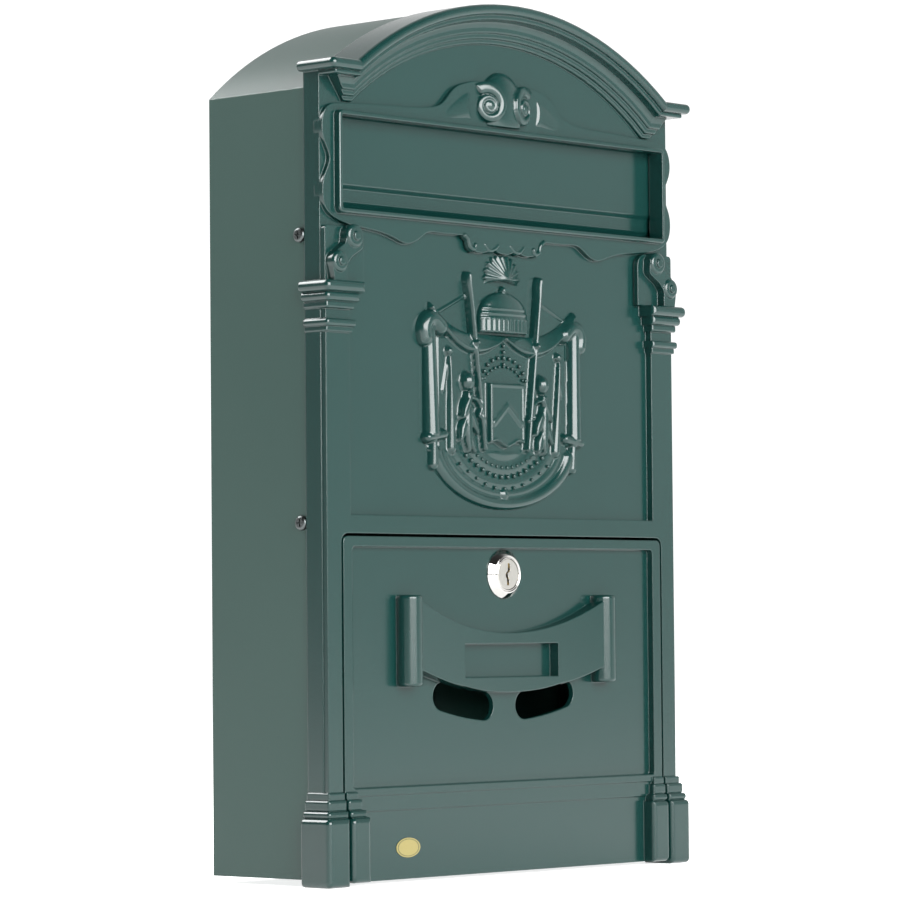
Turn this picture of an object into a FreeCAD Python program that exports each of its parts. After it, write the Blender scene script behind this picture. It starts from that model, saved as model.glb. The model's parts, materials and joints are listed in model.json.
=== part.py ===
import FreeCAD, Part

import math
import os

from FreeCAD import Vector

# Wall-hung post box: a cast front frame with a letter flap and a drop-down door,
# screwed to a folded sheet case.  Millimetres.
# Drawing frame: X to the right seen from the front, Y into the wall, Z up.
# Y = 0 is the face of the frame's plate, and Z = 0 is the frame's foot.
# Every piece is moved at export, so that the origin is the centre of the wall fixings.

# ---- driving dimensions ----------------------------------------------------------------

overall_width = 255.6        # over the pilaster bases
overall_height = 410.0       # foot to the top of the arch
case_depth = 72.2            # plate face to the back of the case

# frame
plate = 3.0                  # casting's plate
wall = 2.5                   # casting's inner side walls
rim_depth = 9.7              # how far the frame's edge reaches back
side_lip = 1.2               # frame's edge outside the case
arch_lip = 0.95              # the same over the roof
seat_gap = 0.05              # case in the frame's rebate
seat_face = 5.2              # where the case starts
hollow_step = 0.75           # frame's inner wall inside the case's inner face
leg_set_in = 2.2             # solid foot of a leg inside the pilaster's side
leg_foot_height = 13.0       # solid round the door pin

# cornice
cornice_front = 13.7
cornice_overhang = 4.2       # past the frame's side
shoulder_run = 18.4          # level run beside the arch
arch_rise = 35.8
cornice_steps = 17.8         # height of the whole moulding
slab_height = 5.0
band_height = 2.0            # square band under the slab
band_inset = 4.2             # its end inside the slab's end
mitre_lap = 0.15             # level run's end inside the arch
nose_facets = 8              # flats round the slab's nose
band_front = 10.9
level_inset = 10.5           # lower steps' end inside the slab's end

# pilasters
pilaster_front = 2.8
pilaster_inset = 0.6         # pilaster's side inside the frame's side
pilaster_face = 15.7
leg_face = 9.3               # its width beside the door
capital_top = 273.8
field_foot = 168.0
field_depth = 0.6

# (height above the lowest step, height, side projection, front projection)
capital_bands = [(0.0, 2.7, 0.8, 1.4), (2.5, 3.4, 1.8, 3.0), (10.6, 3.4, 1.4, 2.2),
                 (13.8, 4.4, 3.1, 4.4), (18.0, 5.2, 4.9, 6.4)]
base_height = 42.4
base_bands = [(39.0, 3.4, 1.3, 1.3), (34.1, 5.0, 2.6, 2.6),
              (30.9, 3.3, 3.9, 3.9), (0.0, 31.0, 5.15, 5.1)]

# scroll brackets over the capitals
bracket_width = 25.5
bracket_height = 25.2
scroll_front = 8.2
upper_roll = 5.4
lower_roll = 5.0
roll_edge = 1.7              # rounding of each roll's face
roll_button = 1.0            # how far the middle of a roll stands out

# letter slot
slot_margin = 9.6            # from the frame's side
slot_top_drop = 24.4         # below the cornice slab's top
slot_height = 42.9
bead_width = 2.0
bead_front = 5.7
surround_front = 2.3

# flap
flap_face = 3.7              # behind the frame's plate face
flap_sheet = 1.5
flap_cover = 3.4             # hidden behind the frame on each side
flap_curl_wall = 1.0
rod_radius = 1.5
running_gap = 0.05
rod_axis_y = 4.2
rod_axis_above = 4.2         # over the slot's top edge
rod_relief = 1.2
rod_lug = 2.0
rod_lug_radius = 3.2
clip_radius = 2.9
clip_gap = 0.4                # round the caps, in the relief behind the frame
clip_thickness = 1.6

# door
door_gap = 1.3
door_top = 158.3
door_foot = 1.5
door_corner = 3.0
door_back = 3.3
door_panel = 0.5             # panel's face behind the frame's plate face
door_rim = 5.8
door_rim_top = 4.6
panel_foot = 43.8
rail_foot = 40.4
plinth_step_z = 33.3
plinth_step_y = 2.0
plinth_floor_y = 1.1

# name holder
roll_reach = 68.6
roll_radius = 6.2
roll_centre_y = 2.6
roll_low = 89.5
roll_high = 131.5
banner_low = 85.8
banner_low_end = 98.6
banner_high = 113.7
banner_high_end = 130.9
banner_front = 4.2
banner_front_end = 7.4
card_width = 66.0
card_height = 15.7
card_low = 93.0

# viewing slots
view_inner = 14.5
view_outer = 43.0
view_inner_z = 79.5
view_outer_z = 84.5
view_height = 13.5

# door hinge
pin_radius = 2.0
pin_axis_y = -2.5
pin_axis_z = 6.5
pin_in_door = 8.0
pin_in_leg = 6.5
pin_end_gap = 0.3

# lock
lock_z = 141.4
bezel_radius = 11.65
bezel_edge = 0.6
bezel_face_radius = 8.7
bezel_height = 3.3
barrel_radius = 8.0
barrel_hole_gap = 0.1
barrel_end = 16.5
plug_radius = 6.5
plug_shoulder = 0.3
keyway_height = 10.4
keyway_width = 1.5
keyway_depth = 15.0
wafer_count = 5
wafer_thickness = 0.8
wafer_pitch = 2.6
wafer_gap = 0.06
tail_side = 6.0
cam_thickness = 2.2
cam_gap = 0.5
cam_reach = 24.0
cam_width = 12.0
cam_hub = 9.0
nut_across = 22.0
nut_thickness = 4.0
lock_washer_radius = 11.5
lock_washer_thickness = 0.8
cam_washer_radius = 4.5
cam_washer_thickness = 0.8
cam_screw_radius = 1.6
cam_screw_length = 8.0
cam_screw_head = 3.4
cam_screw_head_height = 2.4
strike_width = 40.0
strike_height = 3.4

# case
sheet = 1.0
sheet_foot = 3.05
roof_flange = 12.0
floor_front = 10.2
floor_flange = 10.0
fixing_across = 160.0
fixing_up = 240.0
fixing_hole = 3.5
fixing_low = 85.0

# case screws
screw_setback = 13.2
screw_heights = (164.3, 295.2)
screw_radius = 1.95
screw_hole = 2.3
screw_head = 3.35
screw_head_height = 2.1
screw_length = 9.0
lug_half = 6.0
lug_back = 19.0
recess_width = 0.9
recess_depth = 1.1

# label
label_x = -69.0
label_z = 15.8
label_long = 8.0
label_short = 4.5
label_thickness = 0.3

# ---- sizes that follow -----------------------------------------------------------------

half_width = overall_width / 2
frame_half = half_width - base_bands[-1][2] + pilaster_inset
pilaster_half = frame_half - pilaster_inset
pilaster_inner = pilaster_half - pilaster_face
opening_half = pilaster_half - leg_face
door_half = opening_half - door_gap
opening_top = door_top + door_gap
panel_half = door_half - door_rim

slab_end = frame_half + cornice_overhang
spring_half = slab_end - shoulder_run
spring_z = overall_height - arch_rise
arch_radius = (spring_half ** 2 + arch_rise ** 2) / (2 * arch_rise)
arch_centre = overall_height - arch_radius

case_half = frame_half - side_lip - seat_gap
case_radius = arch_radius - arch_lip
fold_z = arch_centre + math.sqrt(case_radius ** 2 - case_half ** 2)

slot_half = frame_half - slot_margin
slot_top = spring_z - slot_top_drop
slot_foot = slot_top - slot_height
rod_z = slot_top + rod_axis_above
flap_half = slot_half + flap_cover
curl_half = slot_half - 0.6
lug_start = slot_half - 0.1
rod_half = lug_start + rod_lug + clip_thickness + 0.8
capital_foot = capital_top - capital_bands[-1][0] - capital_bands[-1][1]
plug_end = barrel_end + cam_gap
fixing_mid = fixing_low + fixing_up / 2

FAR = 500.0                  # longer than the whole box, for cutting tools
X_AXIS = Vector(1, 0, 0)
Y_AXIS = Vector(0, 1, 0)
Z_AXIS = Vector(0, 0, 1)
PLACE = Vector(0, -case_depth, -fixing_mid)


# ---- helpers ---------------------------------------------------------------------------

def box(x0, x1, y0, y1, z0, z1):
    """A block between two corners."""
    return Part.makeBox(x1 - x0, y1 - y0, z1 - z0, Vector(x0, y0, z0))


def rod_along(axis, start, radius, length):
    """A cylinder from a start point."""
    return Part.makeCylinder(radius, length, start, axis)


def mirrored(shape):
    """The same shape on the other side of the middle plane."""
    return shape.mirror(Vector(0, 0, 0), X_AXIS)


def both(shape):
    """A shape and its mirror image."""
    return [shape, mirrored(shape)]


def joined(shapes):
    """One clean solid from several that touch or overlap."""
    return shapes[0].fuse(shapes[1:]).removeSplitter()


def without(shape, tools):
    """A shape after cuts."""
    return shape.cut(tools).removeSplitter()


def corner(before, here, after, radius):
    """Start, middle and end of the arc that rounds one corner."""
    to_before = (before - here).normalize()
    to_after = (after - here).normalize()
    half = to_before.getAngle(to_after) / 2
    reach = radius / math.tan(half)
    inward = (to_before + to_after).normalize() * (radius / math.sin(half) - radius)
    return here + to_before * reach, here + inward, here + to_after * reach


def rounded_face(points):
    """A flat face from (point, corner radius) pairs in order round its edge."""
    edges = []
    marks = []
    for index, (here, radius) in enumerate(points):
        before = points[index - 1][0]
        after = points[(index + 1) % len(points)][0]
        if radius > 0:
            marks.append(corner(before, here, after, radius))
        else:
            marks.append((here, None, here))
    for index, (start, middle, end) in enumerate(marks):
        if middle is not None:
            edges.append(Part.Arc(start, middle, end).toShape())
        following = marks[(index + 1) % len(marks)][0]
        if end.distanceToPoint(following) > 1e-6:
            edges.append(Part.LineSegment(end, following).toShape())
    return Part.Face(Part.Wire(edges))


def front_prism(points, y0, y1):
    """A solid from an outline of (x, z, corner radius), from y0 back to y1."""
    face = rounded_face([(Vector(x, y0, z), r) for x, z, r in points])
    return face.extrude(Vector(0, y1 - y0, 0))


def side_prism(points, x0, x1):
    """A solid from an outline of (y, z, corner radius), from x0 to x1."""
    face = rounded_face([(Vector(x0, y, z), r) for y, z, r in points])
    return face.extrude(Vector(x1 - x0, 0, 0))


def soft_box(x0, x1, y0, y1, z0, z1, radius):
    """A block whose edges are rounded round its front and its outer (x1) side."""
    block = box(x0, x1, y0, y1, z0, z1)
    near = radius / 10
    edges = []
    for edge in block.Edges:
        size = edge.BoundBox
        in_front = size.YMax < y0 + near
        outside = size.XMin > x1 - near and size.YMin < y1 - near
        if in_front or outside:
            edges.append(edge)
    return block.makeFillet(radius, edges)


def turned(points, centre_z):
    """A solid of revolution about the Y axis at x = 0, from (radius, y) points."""
    path = [Vector(radius, y, centre_z) for radius, y in points]
    face = Part.Face(Part.makePolygon(path + [path[0]]))
    return face.revolve(Vector(0, 0, centre_z), Y_AXIS, 360)


def case_face(offset, y, foot):
    """The case's arched outline, grown by an offset."""
    half = case_half + offset
    radius = case_radius + offset
    shoulder = arch_centre + math.sqrt(radius ** 2 - half ** 2)
    left = Vector(-half, y, shoulder)
    right = Vector(half, y, shoulder)
    top = Vector(0, y, arch_centre + radius)
    edges = [
        Part.LineSegment(Vector(-half, y, foot), left).toShape(),
        Part.Arc(left, top, right).toShape(),
        Part.LineSegment(right, Vector(half, y, foot)).toShape(),
        Part.LineSegment(Vector(half, y, foot), Vector(-half, y, foot)).toShape(),
    ]
    return Part.Face(Part.Wire(edges))


def case_block(offset, y0, y1, foot):
    """A solid with the case's outline."""
    return case_face(offset, y0, foot).extrude(Vector(0, y1 - y0, 0))


# ---- front casting ---------------------------------------------------------------------

def frame_block():
    """The frame's whole outline, from its face to the back of its rim."""
    points = [
        Vector(-frame_half, 0, 0),
        Vector(-frame_half, 0, spring_z),
        Vector(-spring_half, 0, spring_z),
        Vector(spring_half, 0, spring_z),
        Vector(frame_half, 0, spring_z),
        Vector(frame_half, 0, 0),
    ]
    edges = [Part.LineSegment(points[0], points[1]).toShape()]
    edges.append(Part.LineSegment(points[1], points[2]).toShape())
    edges.append(Part.Arc(points[2], Vector(0, 0, overall_height), points[3]).toShape())
    edges.append(Part.LineSegment(points[3], points[4]).toShape())
    edges.append(Part.LineSegment(points[4], points[5]).toShape())
    edges.append(Part.LineSegment(points[5], points[0]).toShape())
    return Part.Face(Part.Wire(edges)).extrude(Vector(0, rim_depth, 0))


def nose():
    """(drop, y, corner radius) round the slab's half-round front, from its top."""
    radius = slab_height / 2
    points = []
    for index in range(nose_facets + 1):
        angle = math.pi * index / nose_facets
        drop = radius - radius * math.cos(angle)
        points.append((drop, radius - cornice_front - radius * math.sin(angle), 0.0))
    return points


def cornice_profile():
    """(drop below the cornice's top, y, corner radius) round the moulding."""
    low = slab_height + band_height
    return [(0.0, rim_depth, 0.0)] + nose() + [
        (slab_height, -band_front, 0.0),
        (low, -band_front, 0.7),
        (low + 0.6, -6.2, 1.8),
        (low + 3.4, -5.4, 0.3),
        (low + 5.8, -5.2, 0.9),
        (low + 6.0, -3.8, 0.3),
        (low + 8.3, -3.6, 0.9),
        (low + 8.5, -2.0, 0.3),
        (cornice_steps - 0.1, -1.8, 0.9),
        (cornice_steps, rim_depth, 0.0),
    ]


def mitre(drop):
    """Where the arch meets the level run, at a drop below the cornice's top."""
    reach = math.sqrt(spring_half ** 2 - 2 * drop * (arch_radius - spring_z + arch_centre))
    return reach, spring_z - drop


def cornice():
    """The moulded arch with its two level ends."""
    profile = cornice_profile()
    centre = Vector(0, 0, arch_centre)
    face = rounded_face([(Vector(0, y, overall_height - drop), r) for drop, y, r in profile])
    ring = face.revolve(centre, Y_AXIS, 60)
    high_x, high_z = mitre(0.0)
    low_x, low_z = mitre(cornice_steps)
    run = (high_x - low_x) / (high_z - low_z)
    up = overall_height + 20 - high_z
    outer_x = high_x + run * up
    inner_x = low_x - run * 5
    wedges = []
    for lap in (0.0, mitre_lap):
        foot = inner_x - lap
        top = outer_x - lap
        wedges.append(front_prism([(-foot, low_z - 5, 0), (-top, high_z + up, 0),
                                   (top, high_z + up, 0), (foot, low_z - 5, 0)], -FAR, FAR))
    arch = ring.common(wedges[0])

    start = low_x - 20
    end = slab_end - level_inset
    below = [(drop, y, r) for drop, y, r in profile if drop > slab_height + band_height]
    below = [(slab_height + 0.5, rim_depth, 0), (slab_height + 0.5, -6.2, 0)] + below
    side_face = [(Vector(start, y, spring_z - drop), r) for drop, y, r in below]
    level = rounded_face(side_face).extrude(Vector(end - start, 0, 0))
    slope = front_prism([(end, spring_z - slab_height - band_height, 0), (FAR, spring_z, 0),
                         (FAR, low_z - 9, 0), (end - 9, low_z - 1, 0)], -FAR, 0)
    level = level.cut(slope)
    slab = soft_box(start, slab_end, -cornice_front, rim_depth, spring_z - slab_height, spring_z,
                    slab_height * 0.48)
    band = soft_box(start, slab_end - band_inset, -band_front, rim_depth,
                    spring_z - slab_height - band_height, spring_z - slab_height, 0.7)
    end_run = joined([level, slab, band]).cut(wedges[1])
    return both(arch) + both(end_run)


def moulding(bands, foot, inner):
    """Stepped bands round one pilaster; inner is None beside the door."""
    steps = []
    for above, height, side, front in bands:
        x0 = opening_half if inner is None else inner - side
        block = soft_box(x0, pilaster_half + side, -pilaster_front - front, rim_depth,
                         foot + above, foot + above + height, min(height, front) * 0.45)
        steps.append(block)
    return steps


def surround():
    """The raised panel round the letter slot, with its curved outline."""
    side = frame_half + 0.2
    top = slot_top
    foot = slot_foot
    half = [
        (0, top + 24.0), (14, top + 24.2), (24, top + 22.8), (35, top + 18.6), (43, top + 11.2),
        (52, top + 8.6), (80, top + 7.0), (side - 12, top + 5.4), (side - 3.5, top + 3.2),
        (side, top - 4), (side - 1.2, top - 12), (side - 4.8, top - 20), (side - 1.2, foot + 14),
        (side, foot + 8), (side - 2.5, foot - 0.6), (side - 8, foot - 4.3), (side - 25, foot - 7.6),
        (slot_half - 38, foot - 11.2), (slot_half - 46, foot - 13.2), (slot_half - 54, foot - 10.6),
        (slot_half - 60, foot - 7.2), (slot_half - 68, foot - 6.8), (32, foot - 6.8),
        (26, foot - 8.4), (24.6, foot - 12.2), (21, foot - 13.8), (12, foot - 13.4),
        (8.5, foot - 11.9), (5, foot - 13.4), (0, foot - 14.2),
    ]
    left = [(-x, z) for x, z in reversed(half[1:-1])]
    curve = Part.BSplineCurve()
    curve.interpolate([Vector(x, plate, z) for x, z in half + left], PeriodicFlag=True)
    face = Part.Face(Part.Wire(curve.toShape()))
    return face.extrude(Vector(0, -plate - surround_front, 0))


def slot_tool(grow, y0, y1, radius):
    """A block through the letter slot, grown on every side."""
    x = slot_half + grow
    low = slot_foot - grow
    high = slot_top + grow
    return front_prism([(-x, low, radius), (x, low, radius), (x, high, radius), (-x, high, radius)],
                       y0, y1)


def bead():
    """The rounded bead round the letter slot."""
    ring = slot_tool(bead_width, -bead_front, 0, 2.6)
    ring = ring.makeFillet(0.9, [e for e in ring.Edges if e.BoundBox.YMax < -bead_front + 0.1])
    return ring


def bracket():
    """One scroll bracket on its block, over the right-hand capital."""
    foot = capital_top
    out = frame_half - 0.4
    inner = out - bracket_width
    high = foot + bracket_height
    block = front_prism([(inner, foot, 0), (out, foot, 0), (out, high, 2), (inner, high, 6)],
                        -pilaster_front, 0)
    upper_x = out - 15.4
    upper_z = foot + 20.6
    lower_x = out - 5.6
    lower_z = foot + 8.6
    body = front_prism([
        (upper_x - upper_roll, upper_z + 2, 0), (upper_x - upper_roll - 0.3, upper_z - 5.2, 3),
        (upper_x + 1.6, upper_z - 9.4, 3), (lower_x - 4.8, lower_z - 1.2, 2),
        (lower_x - 4.8, foot, 0), (lower_x + 3.4, foot, 0), (lower_x + lower_roll - 0.1, lower_z, 0),
        (lower_x + 1.0, lower_z + 5.4, 2), (upper_x + 6.0, upper_z - 3.4, 2.2),
        (upper_x + 4.4, upper_z + 2, 0)], -scroll_front + 1.2, 0)
    parts = [block, body]
    for x, z, radius in ((upper_x, upper_z, upper_roll), (lower_x, lower_z, lower_roll)):
        roll = rod_along(Y_AXIS, Vector(x, -scroll_front, z), radius, scroll_front)
        front = [e for e in roll.Edges if e.BoundBox.YMax < -scroll_front + 0.1]
        button = rod_along(Y_AXIS, Vector(x, -scroll_front - roll_button, z), radius * 0.4,
                           2 * roll_button)
        tip = [e for e in button.Edges if e.BoundBox.YMax < -scroll_front]
        parts.append(roll.makeFillet(roll_edge, front))
        parts.append(button.makeFillet(roll_button * 0.6, tip))
    return joined(parts)


def screw_lugs():
    """Lugs inside the frame that the case screws bite into."""
    inner = case_half - sheet - seat_gap - screw_length - 0.5
    lugs = []
    for z in screw_heights:
        lug = box(inner, case_half - sheet - seat_gap, 0, lug_back, z - lug_half, z + lug_half)
        hole = rod_along(X_AXIS, Vector(inner - 1, screw_setback, z), screw_radius, FAR)
        lugs.extend(both(lug.cut(hole)))
    return lugs


def rod_lugs():
    """Two eyes behind the frame that hold the flap's rod."""
    x0 = lug_start
    block = box(x0, x0 + rod_lug, 0, rod_axis_y, rod_z - rod_lug_radius, rod_z + rod_lug_radius)
    eye = rod_along(X_AXIS, Vector(x0, rod_axis_y, rod_z), rod_lug_radius, rod_lug)
    hole = rod_along(X_AXIS, Vector(x0 - 1, rod_axis_y, rod_z), rod_radius, rod_lug + 2)
    return both(block.fuse(eye).cut(hole))


def front_casting():
    """The whole cast frame."""
    face = box(pilaster_inner, pilaster_half, -pilaster_front, plate, 0, capital_foot + 20)
    rail = box(-pilaster_half, pilaster_half, -pilaster_front, plate, opening_top, field_foot)
    field = box(-pilaster_inner, pilaster_inner, -FAR, field_depth, field_foot, slot_foot - 5)
    body = joined([frame_block()] + both(face) + [rail]).cut(field)
    solids = cornice() + [surround(), bead()] + both(bracket())
    for step in moulding(capital_bands, capital_foot, pilaster_inner):
        solids.extend(both(step))
    for step in moulding(base_bands, 0.0, None):
        solids.extend(both(step))
    body = joined([body] + solids)

    hollow = case_block(-sheet - seat_gap - hollow_step, plate, FAR, -1)
    seat = case_block(seat_gap, seat_face - seat_gap, FAR, sheet_foot - seat_gap)
    doorway = front_prism([(-opening_half, -1, 0), (opening_half, -1, 0),
                           (opening_half, opening_top, door_corner + door_gap),
                           (-opening_half, opening_top, door_corner + door_gap)], -FAR, FAR)
    relief = box(-rod_half - clip_gap, rod_half + clip_gap, rod_relief, plate + 1,
                 rod_z - rod_axis_above - 0.5, rod_z + rod_axis_above)
    body = without(body, [hollow, seat, doorway, slot_tool(0, -FAR, FAR, 1.0), relief])

    leg_wall = box(opening_half, opening_half + wall, 0, rim_depth, 0, opening_top)
    leg_foot = box(opening_half, pilaster_half - leg_set_in, 0, rim_depth, 0, leg_foot_height)
    leg_fill = box(opening_half, pilaster_half, 0, seat_face - 2 * seat_gap, 0, leg_foot_height)
    rail_back = box(-strike_width / 2, strike_width / 2, 0, barrel_end,
                    opening_top, opening_top + strike_height)
    lips = both(leg_wall) + both(leg_foot) + both(leg_fill) + [rail_back]
    body = joined([body] + lips + screw_lugs() + rod_lugs())
    pin_hole = rod_along(X_AXIS, Vector(opening_half - 1, pin_axis_y, pin_axis_z),
                         pin_radius, pin_in_leg + 1)
    return without(body, both(pin_hole))


# ---- flap ------------------------------------------------------------------------------

def flap_plate():
    """The letter flap: a jogged plate whose top edge curls round the rod."""
    face = flap_face
    back = face + flap_sheet
    foot = slot_foot - flap_cover - 0.5
    top = slot_top + 0.5
    jog = slot_foot + 12.3
    low = slot_foot + 4.3
    panel = side_prism([
        (face, top, 0), (face, jog, 0.6), (face + 1.4, jog - 2.2, 0.6), (face + 1.4, low, 0.6),
        (face + 3.2, low - 2.8, 0.6), (face + 3.2, foot, 0), (back + 3.2, foot, 0),
        (back + 3.2, low - 2.2, 0.6), (back + 1.4, low + 0.6, 0.6), (back + 1.4, jog - 1.6, 0.6),
        (back, jog + 0.6, 0.6), (back, top, 0)], -flap_half, flap_half)
    curl = rod_along(X_AXIS, Vector(-curl_half + 0.4, rod_axis_y, rod_z),
                     rod_radius + running_gap + flap_curl_wall, 2 * curl_half - 0.8)
    web = box(-curl_half + 0.4, curl_half - 0.4, face, back, top - 1, rod_z)
    bore = rod_along(X_AXIS, Vector(-FAR / 2, rod_axis_y, rod_z), rod_radius + running_gap, FAR)
    return without(joined([panel, web, curl]), [bore])


def flap_rod():
    """The steel rod that the flap swings on."""
    return rod_along(X_AXIS, Vector(-rod_half, rod_axis_y, rod_z), rod_radius, 2 * rod_half)


def flap_rod_clips():
    """Push-on caps outside the two eyes."""
    x0 = lug_start + rod_lug
    clip = rod_along(X_AXIS, Vector(x0, rod_axis_y, rod_z), clip_radius, clip_thickness)
    hole = rod_along(X_AXIS, Vector(x0 - 1, rod_axis_y, rod_z), rod_radius, clip_thickness + 2)
    return Part.makeCompound(both(clip.cut(hole)))


# ---- door ------------------------------------------------------------------------------

def sagging_arc(low, end, half):
    """Radius and centre height of an arc that is lowest in the middle."""
    sag = end - low
    radius = (half ** 2 + sag ** 2) / (2 * sag)
    return radius, low + radius


def banner():
    """The ribbon between the two rolls, hollowed towards its middle."""
    edges = []
    corners = []
    for low, end in ((banner_low, banner_low_end), (banner_high, banner_high_end)):
        left = Vector(-roll_reach, door_panel, end)
        right = Vector(roll_reach, door_panel, end)
        edges.append(Part.Arc(left, Vector(0, door_panel, low), right).toShape())
        corners.append((left, right))
    edges.append(Part.LineSegment(corners[0][0], corners[1][0]).toShape())
    edges.append(Part.LineSegment(corners[0][1], corners[1][1]).toShape())
    ribbon = Part.Face(Part.Wire(Part.__sortEdges__(edges)))
    ribbon = ribbon.extrude(Vector(0, -3 * banner_front_end, 0))
    depth = banner_front_end - banner_front
    radius = (roll_reach ** 2 + depth ** 2) / (2 * depth)
    hollow = rod_along(Z_AXIS, Vector(0, -banner_front - radius, 0), radius, FAR)
    card = box(-card_width / 2, card_width / 2, -FAR, door_panel, card_low, card_low + card_height)
    return without(ribbon, [hollow, card])


def view_tool():
    """A cutter for the right-hand viewing slot: a curved slot with round ends."""
    rise = view_outer_z ** 2 - view_inner_z ** 2 + view_outer ** 2 - view_inner ** 2
    centre = rise / (2 * (view_outer_z - view_inner_z))
    radius = math.hypot(view_inner, centre - view_inner_z)
    half = view_height / 2
    tilts = [math.asin(x / radius) for x in (view_inner, view_outer)]

    def at(tilt, reach):
        return Vector(reach * math.sin(tilt), -5, centre - reach * math.cos(tilt))

    middle = sum(tilts) / 2
    arcs = []
    for reach in (radius - half, radius + half):
        arcs.append(Part.Arc(at(tilts[0], reach), at(middle, reach), at(tilts[1], reach)).toShape())
    end = half / radius
    arcs.append(Part.Arc(at(tilts[0], radius - half), at(tilts[0] - end, radius),
                         at(tilts[0], radius + half)).toShape())
    arcs.append(Part.Arc(at(tilts[1], radius - half), at(tilts[1] + end, radius),
                         at(tilts[1], radius + half)).toShape())
    face = Part.Face(Part.Wire(Part.__sortEdges__(arcs)))
    return face.extrude(Vector(0, 5 + plate * 3, 0))


def door_casting():
    """The drop-down door with its plinth, rims, name holder and viewing slots."""
    slab = front_prism([(-door_half, door_foot, 0), (door_half, door_foot, 0),
                        (door_half, door_top, door_corner), (-door_half, door_top, door_corner)],
                       -pilaster_front, door_back)
    panel_top = door_top - door_rim_top
    panel = front_prism([(-panel_half, panel_foot, 1.5), (panel_half, panel_foot, 1.5),
                         (panel_half, panel_top, 2), (-panel_half, panel_top, 2)],
                        -FAR, door_panel)
    step = box(-panel_half, panel_half, -FAR, -plinth_step_y, -1, rail_foot)
    floor = box(-panel_half, panel_half, -FAR, -plinth_floor_y, -1, plinth_step_z)
    body = without(slab, [panel, step, floor])
    rims = []
    for above, height, side, front in base_bands:
        low = max(above, door_foot)
        rim = soft_box(panel_half - side * 1.26, door_half, -pilaster_front - front, door_back,
                       low, above + height, min(height, front) * 0.45)
        rims.extend(both(rim))
    roll = rod_along(Z_AXIS, Vector(roll_reach, -roll_centre_y, roll_low), roll_radius,
                     roll_high - roll_low)
    roll = roll.makeFillet(1.4, roll.Edges[:1] + roll.Edges[2:])
    behind = box(-door_half, door_half, door_back, FAR, 0, FAR)
    body = joined([body] + rims + both(roll) + [banner()])
    lock_hole = rod_along(Y_AXIS, Vector(0, -20, lock_z), barrel_radius + barrel_hole_gap, 40)
    pin_hole = rod_along(X_AXIS, Vector(door_half - pin_in_door, pin_axis_y, pin_axis_z),
                         pin_radius + running_gap, pin_in_door + 1)
    return without(body, [behind, lock_hole] + both(pin_hole) + both(view_tool()))


def hinge_pin():
    """The right-hand door pin, pressed into the frame's leg."""
    start = door_half - pin_in_door + pin_end_gap
    return rod_along(X_AXIS, Vector(start, pin_axis_y, pin_axis_z), pin_radius,
                     opening_half + pin_in_leg - start)


def maker_label():
    """A plain oval sticker on the plinth."""
    oval = Part.Ellipse(Vector(label_x, -plinth_floor_y, label_z), label_long, label_short)
    edge = oval.toShape()
    edge.rotate(Vector(label_x, -plinth_floor_y, label_z), X_AXIS, 90)
    return Part.Face(Part.Wire(edge)).extrude(Vector(0, -label_thickness, 0))


# ---- lock ------------------------------------------------------------------------------

def lock_body():
    """Bezel and barrel in one, bored for the plug."""
    face = door_panel
    front = face - bezel_height
    bore = plug_radius + running_gap
    shoulder = bore + plug_shoulder + 0.6
    return turned([
        (shoulder, front), (bezel_face_radius - 0.9, front), (bezel_face_radius - 0.6, front + 0.35),
        (bezel_face_radius - 0.2, front), (bezel_face_radius + 0.25, front + 0.15),
        (bezel_radius - 0.15, face - bezel_edge - 0.2), (bezel_radius, face - bezel_edge),
        (bezel_radius, face), (barrel_radius, face), (barrel_radius, barrel_end), (bore, barrel_end),
        (bore, front + 1.2), (shoulder, front + 1.2)], lock_z)


def keyway():
    """The zigzag slot for the key, as a cutter."""
    half = keyway_height / 2
    side = keyway_width / 2
    shift = keyway_width * 0.55
    path = [(0, -half), (0, -half * 0.45), (-shift, -half * 0.2), (-shift, half * 0.1),
            (shift * 0.8, half * 0.3), (shift * 0.8, half)]
    right = [(x + side, lock_z + z, 0) for x, z in path]
    left = [(x - side, lock_z + z, 0) for x, z in reversed(path)]
    return front_prism(right + left, -FAR, -bezel_height + keyway_depth)


def wafer_places():
    """The wafers' front faces along the plug."""
    first = -bezel_height + door_panel + 2.4
    return [first + index * wafer_pitch for index in range(wafer_count)]


def lock_plug():
    """The turning core, with its keyway, wafer slots, square tail and screw hole."""
    front = door_panel - bezel_height
    shoulder = plug_radius + plug_shoulder + 0.55
    core = turned([(0, front + 0.2), (shoulder - 0.3, front + 0.2), (shoulder, front + 0.45),
                   (shoulder, front + 1.1), (plug_radius, front + 1.1), (plug_radius, plug_end),
                   (0, plug_end)], lock_z)
    half = tail_side / 2
    tail = box(-half, half, plug_end - 0.5, plug_end + cam_thickness, lock_z - half, lock_z + half)
    hole = rod_along(Y_AXIS, Vector(0, plug_end + cam_thickness - cam_screw_length, lock_z),
                     cam_screw_radius, FAR)
    slots = [box(-2.5, 2.5, y, y + wafer_thickness + 2 * wafer_gap, lock_z - FAR, lock_z + FAR)
             for y in wafer_places()]
    return without(joined([core, tail]), [keyway(), hole] + slots)


def lock_wafers():
    """Spring-loaded wafers, each with a window for the key."""
    wafers = []
    reach = plug_radius - 0.6
    for index, y in enumerate(wafer_places()):
        lift = (-0.35, 0.2, 0.0, 0.35, -0.2)[index % 5]
        y0 = y + wafer_gap
        plate_solid = box(-2.4, 2.4, y0, y0 + wafer_thickness, lock_z - reach, lock_z + reach)
        window = box(-1.5, 1.5, y0 - 1, y0 + 2, lock_z - 3.4 + lift, lock_z + 3.4 + lift)
        wafers.append(plate_solid.cut(window))
    return Part.makeCompound(wafers)


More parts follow.
